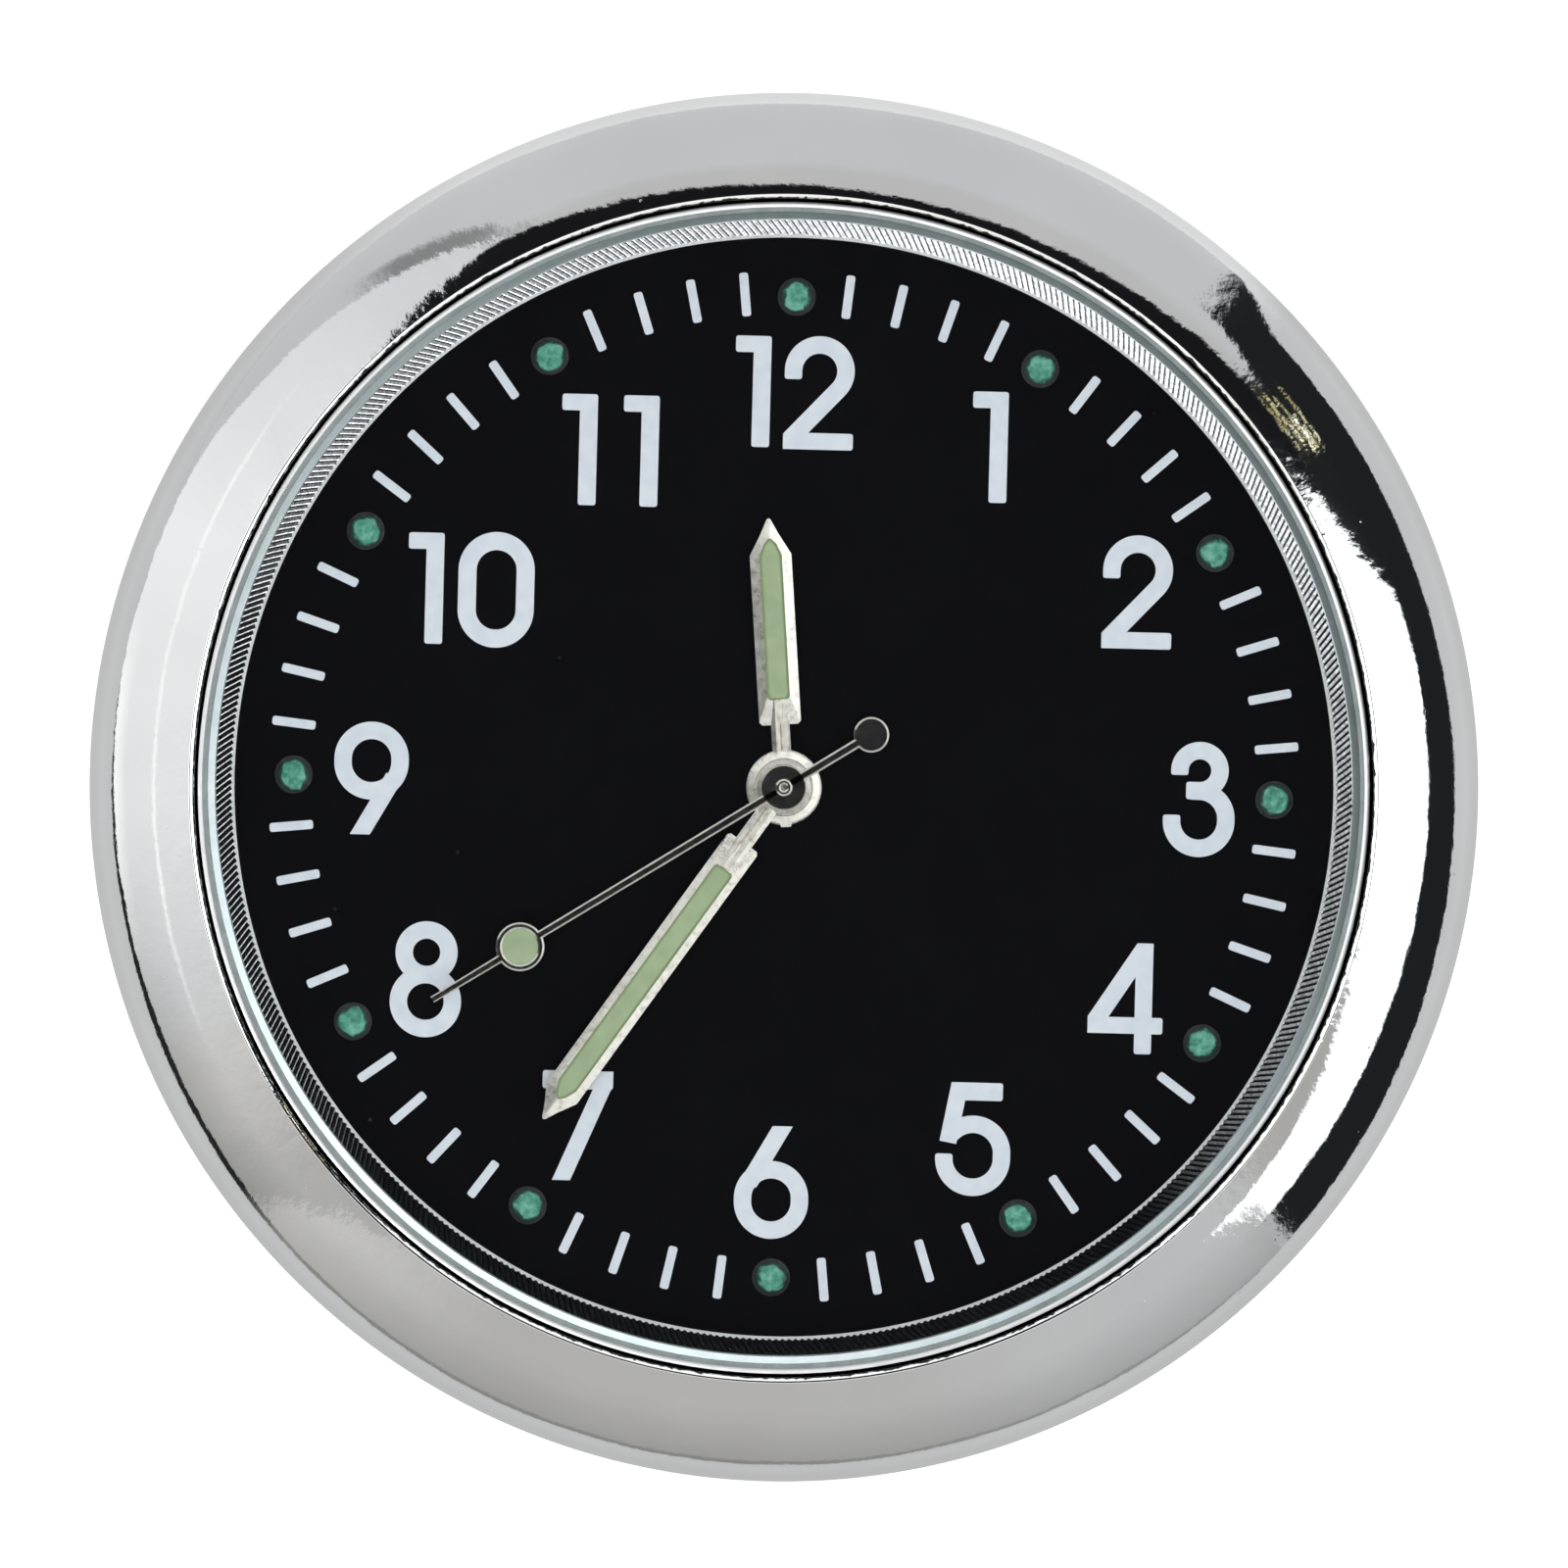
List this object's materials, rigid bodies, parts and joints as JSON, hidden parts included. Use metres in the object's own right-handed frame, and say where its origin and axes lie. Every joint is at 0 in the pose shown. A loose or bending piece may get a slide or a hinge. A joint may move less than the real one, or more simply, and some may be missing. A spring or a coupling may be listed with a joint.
{
  "type": "car dashboard clock",
  "caption": "Round stick-on dashboard clock with a domed chrome case, black numbered dial, glow hands and a press-in quartz clock insert.",
  "frame": {"origin": "centre of the adhesive back face", "axes": "+Z towards 12 o'clock, -Y out of the dial towards the viewer, +Y into the surface it is stuck to, +X towards 3 o'clock"},
  "size_m": [0.042, 0.0123, 0.042],
  "materials": {
    "chrome": "mirror-plated zinc casting",
    "foam": "closed-cell foam with adhesive faces",
    "cup": "polished drawn metal",
    "grip": "matte rubber",
    "gasket": "translucent nylon",
    "glass": "clear polished mineral glass",
    "reflector": "bright-plated fine flutes",
    "dial_black": "semi-gloss black lacquer",
    "dot_green": "glow paint under clear varnish",
    "hand_silver": "polished, bevelled",
    "hand_lume": "pale green glow paint",
    "second_nickel": "mirror nickel",
    "steel": "brushed",
    "brass": "satin brass",
    "iron": "plain soft iron",
    "copper": "enamelled copper wire",
    "board": "green solder mask",
    "resin": "matte black resin",
    "holder_white": "moulded white plastic",
    "black_rubber": "matte rubber"
  },
  "bodies": {
    "case": {"bezel_case": "chrome", "adhesive_pad": "foam"},
    "insert": {"insert_cup": "cup", "grip_ring": "grip", "back_cover": "steel", "back_gasket": "black_rubber", "movement_holder": "holder_white", "main_plate": "brass", "train_bridge": "brass", "bridge_screws": "steel", "stator": "iron", "coil_core": "iron", "coil_winding": "copper", "circuit_board": "board", "timing_chip": "resin", "quartz_can": "steel", "battery_cell": "steel", "battery_strap": "steel", "dial_washer": "brass", "crown_tube": "steel", "dial_plate": "dial_black", "lume_dots": "dot_green", "reflector_ring": "reflector", "crystal_gasket": "gasket", "crystal": "glass"},
    "second": {"second_wheel": "brass", "second_hand": "second_nickel", "second_hand_lume": "hand_lume"},
    "rotor": {"rotor_magnet": "iron", "rotor_pinion": "steel"},
    "intermediate": {"intermediate_wheel": "brass"},
    "third": {"third_wheel": "brass"},
    "minute": {"centre_wheel": "brass", "cannon_pinion": "steel", "minute_hand": "hand_silver", "minute_hand_lume": "hand_lume"},
    "minute_work": {"minute_wheel": "brass"},
    "hour": {"hour_wheel": "brass", "hour_hand": "hand_silver", "hour_hand_lume": "hand_lume"},
    "clutch": {"sliding_pinion": "steel"},
    "crown": {"crown": "steel", "stem": "steel"},
    "lever": {"setting_lever": "steel"}
  },
  "joints": [
    {"name": "insert_pull", "type": "slide", "parent": "case", "child": "insert", "axis": [0, -1, 0], "range_m": [0, 0.01]},
    {"name": "second_turn", "type": "hinge", "parent": "insert", "child": "second", "pos_m": [0, -0.0092, 0], "axis": [0, 1, 0], "continuous": true},
    {"name": "rotor_turn", "type": "hinge", "parent": "insert", "child": "rotor", "pos_m": [-0.00037, -0.0044, -0.00651], "axis": [0, 1, 0], "continuous": true},
    {"name": "intermediate_turn", "type": "hinge", "parent": "insert", "child": "intermediate", "pos_m": [-0.00238, -0.0044, -0.00412], "axis": [0, 1, 0], "continuous": true},
    {"name": "third_turn", "type": "hinge", "parent": "insert", "child": "third", "pos_m": [-0.00083, -0.0045, 0.00469], "axis": [0, 1, 0], "continuous": true},
    {"name": "minute_turn", "type": "hinge", "parent": "insert", "child": "minute", "pos_m": [0, -0.005, 0], "axis": [0, 1, 0], "continuous": true},
    {"name": "minute_wheel_turn", "type": "hinge", "parent": "insert", "child": "minute_work", "pos_m": [0.00276, -0.0068, -0.00231], "axis": [0, 1, 0], "continuous": true},
    {"name": "hour_turn", "type": "hinge", "parent": "insert", "child": "hour", "pos_m": [0, -0.0071, 0], "axis": [0, 1, 0], "continuous": true},
    {"name": "crown_turn", "type": "hinge", "parent": "insert", "child": "clutch", "pos_m": [0.0063, -0.0044, 0], "axis": [1, 0, 0], "continuous": true},
    {"name": "crown_pull", "type": "slide", "parent": "clutch", "child": "crown", "axis": [1, 0, 0], "range_m": [0, 0.0008]},
    {"name": "lever_turn", "type": "hinge", "parent": "insert", "child": "lever", "pos_m": [0.008, -0.0052, -0.0026], "axis": [0, 1, 0], "range_deg": [0, 17.7]}
  ],
  "couplings": [
    {"joint": "rotor_turn", "follows": "second_turn", "ratio": 30},
    {"joint": "intermediate_turn", "follows": "second_turn", "ratio": -6},
    {"joint": "third_turn", "follows": "second_turn", "ratio": -0.13333},
    {"joint": "minute_turn", "follows": "second_turn", "ratio": 0.016667},
    {"joint": "minute_wheel_turn", "follows": "second_turn", "ratio": -0.0055556},
    {"joint": "hour_turn", "follows": "second_turn", "ratio": 0.0013889},
    {"joint": "lever_turn", "follows": "crown_pull", "rad_per_m": 384.6}
  ]
}
